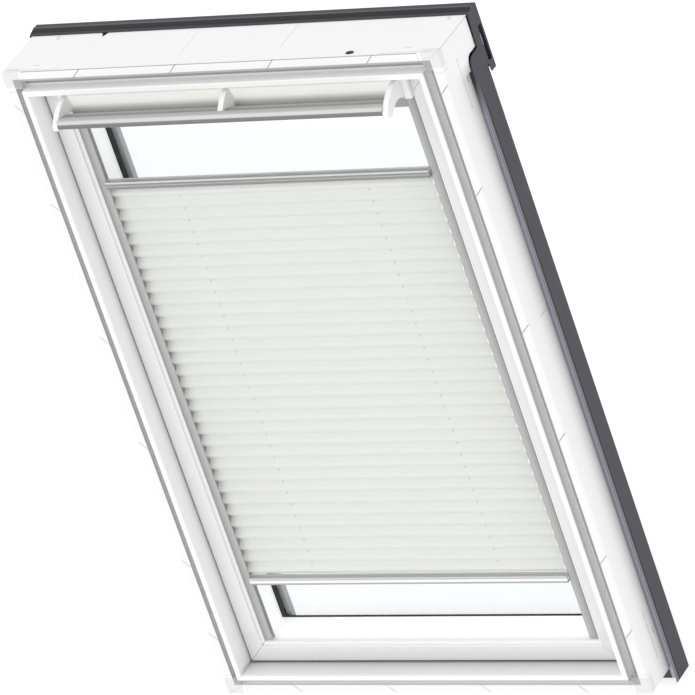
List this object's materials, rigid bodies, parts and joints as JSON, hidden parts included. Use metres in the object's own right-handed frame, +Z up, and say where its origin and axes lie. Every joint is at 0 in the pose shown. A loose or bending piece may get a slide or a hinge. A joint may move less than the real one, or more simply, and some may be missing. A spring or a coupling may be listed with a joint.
{
  "type": "roof window with pleated blind",
  "caption": "White centre-pivot roof window with dark outer covers, a top control bar and a pleated blind that slides between side rails.",
  "frame": {"origin": "middle of the flat underside of the frame", "axes": "+X across the width to the right seen from the room, +Y away from the room towards the roof side, +Z up the window"},
  "size_m": [0.786, 0.1829, 1.215],
  "materials": {
    "white_frame": "smooth white painted profile",
    "white_collar": "plain white moulded collar",
    "white_sash": "smooth white painted profile",
    "white_plastic": "white moulding",
    "cover_metal": "dark grey painted sheet",
    "grey_aluminium": "satin anodised extrusion",
    "bar_aluminium": "white coated extrusion",
    "hinge_steel": "zinc plated",
    "seal_rubber": "black rubber",
    "pane_glass": "clear float glass",
    "cream_plastic": "cream moulding",
    "pleated_cloth": "off-white pleated cloth"
  },
  "bodies": {
    "frame": {"frame_left": "white_frame", "collar_left": "white_collar", "seal_left": "seal_rubber", "cover_left": "cover_metal", "frame_right": "white_frame", "collar_right": "white_collar", "seal_right": "seal_rubber", "cover_right": "cover_metal", "frame_top": "white_frame", "collar_top": "white_collar", "seal_top": "seal_rubber", "cover_top": "cover_metal", "frame_bottom": "white_frame", "collar_bottom": "white_collar", "seal_bottom": "seal_rubber", "cover_bottom": "cover_metal", "collar_corner_top_left": "white_collar", "collar_corner_top_right": "white_collar", "collar_corner_bottom_left": "white_collar", "collar_corner_bottom_right": "white_collar", "cover_corner_left": "cover_metal", "hinge_frame_left": "hinge_steel", "cover_corner_right": "cover_metal", "hinge_frame_right": "hinge_steel", "cable_plug": "seal_rubber", "strike_plate": "hinge_steel"},
    "sash": {"sash_left": "white_sash", "sash_cover_left": "cover_metal", "sash_right": "white_sash", "sash_cover_right": "cover_metal", "sash_top": "white_sash", "sash_cover_top": "cover_metal", "sash_bottom": "white_sash", "sash_cover_bottom": "cover_metal", "hinge_sash_left": "hinge_steel", "bar_hinge_left": "white_plastic", "rail_left": "grey_aluminium", "hinge_sash_right": "hinge_steel", "bar_hinge_right": "white_plastic", "rail_right": "grey_aluminium", "glass_gasket": "seal_rubber", "glass_inner": "pane_glass", "glass_outer": "pane_glass", "glass_spacer": "grey_aluminium", "rail_top": "grey_aluminium", "lock_case": "hinge_steel", "fabric_upper": "pleated_cloth", "fabric_lower": "pleated_cloth"},
    "control_bar": {"bar_arm_left": "white_plastic", "bar_arm_right": "white_plastic", "bar_arm_middle": "white_plastic", "control_bar": "bar_aluminium", "vent_flap": "cream_plastic"},
    "latch": {"lock_latch": "hinge_steel"},
    "blind_top": {"glider_top_left": "white_plastic", "glider_top_right": "white_plastic", "blind_top_bar": "grey_aluminium"},
    "blind_bottom": {"glider_bottom_left": "white_plastic", "glider_bottom_right": "white_plastic", "blind_bottom_bar": "grey_aluminium"}
  },
  "joints": [
    {"name": "sash_turn", "type": "hinge", "parent": "frame", "child": "sash", "pos_m": [0, 0.022, 0.589], "axis": [1, 0, 0], "range_deg": [0, 160]},
    {"name": "bar_turn", "type": "hinge", "parent": "sash", "child": "control_bar", "pos_m": [0, -0.0205, 1.097], "axis": [1, 0, 0], "range_deg": [0, 40]},
    {"name": "latch_slide", "type": "slide", "parent": "sash", "child": "latch", "axis": [0, 0, 1], "range_m": [-0.008, 0]},
    {"name": "blind_top_slide", "type": "slide", "parent": "sash", "child": "blind_top", "axis": [0, 0, 1], "range_m": [-0.293, 0.108], "deforming": ["fabric_upper"]},
    {"name": "blind_bottom_slide", "type": "slide", "parent": "sash", "child": "blind_bottom", "axis": [0, 0, 1], "range_m": [-0.1, 0.293], "deforming": ["fabric_lower"]}
  ],
  "couplings": [
    {"joint": "latch_slide", "follows": "bar_turn", "m_per_rad": -0.011459}
  ]
}
